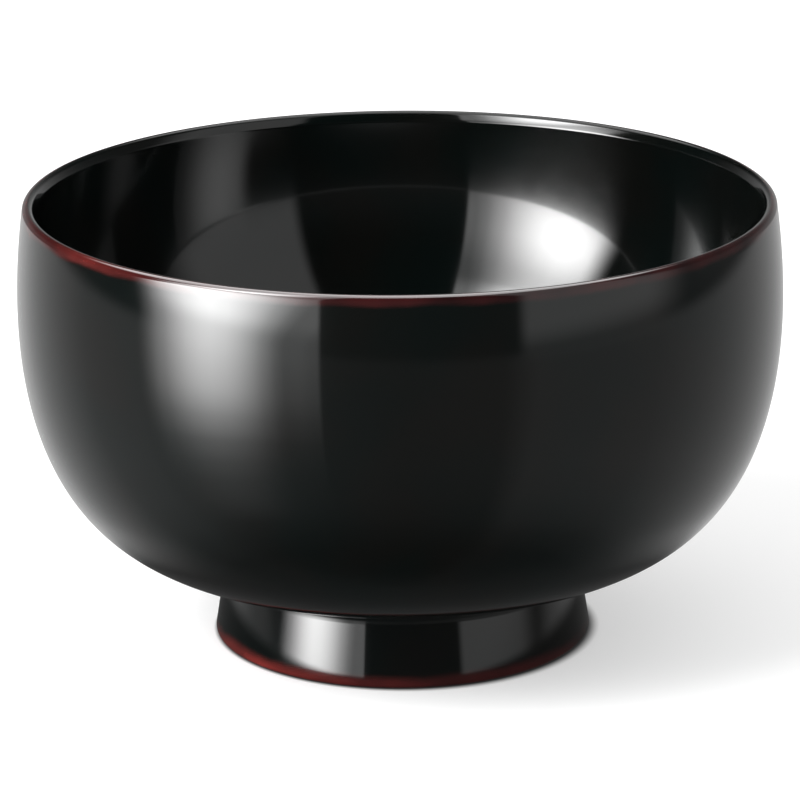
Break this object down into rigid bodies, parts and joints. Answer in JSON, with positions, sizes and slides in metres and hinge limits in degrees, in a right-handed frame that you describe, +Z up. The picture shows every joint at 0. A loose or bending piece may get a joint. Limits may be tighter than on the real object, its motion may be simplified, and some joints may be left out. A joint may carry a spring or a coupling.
{
  "type": "lacquered rice bowl",
  "caption": "Deep round turned-wood bowl on a tall foot ring, glossy black lacquer inside and out, with a thin red-brown lip and foot edge.",
  "frame": {"origin": "centre of the foot's resting ring, on the surface the bowl stands on", "axes": "+Z up along the axis the bowl was turned about; X and Y are equal, because the bowl is round"},
  "size_m": [0.115, 0.115, 0.068],
  "materials": {
    "wood": "bare turned wood, sealed under the lacquer",
    "black_lacquer": "high-gloss black lacquer",
    "red_brown_lacquer": "glossy translucent red-brown lacquer"
  },
  "bodies": {
    "root": {"wood_core": "wood", "rim_edge_coat": "red_brown_lacquer", "outer_wall_coat": "black_lacquer", "inner_wall_coat": "black_lacquer", "foot_root_coat": "red_brown_lacquer", "foot_wall_coat": "black_lacquer", "foot_edge_coat": "red_brown_lacquer", "foot_recess_coat": "black_lacquer"}
  },
  "joints": []
}
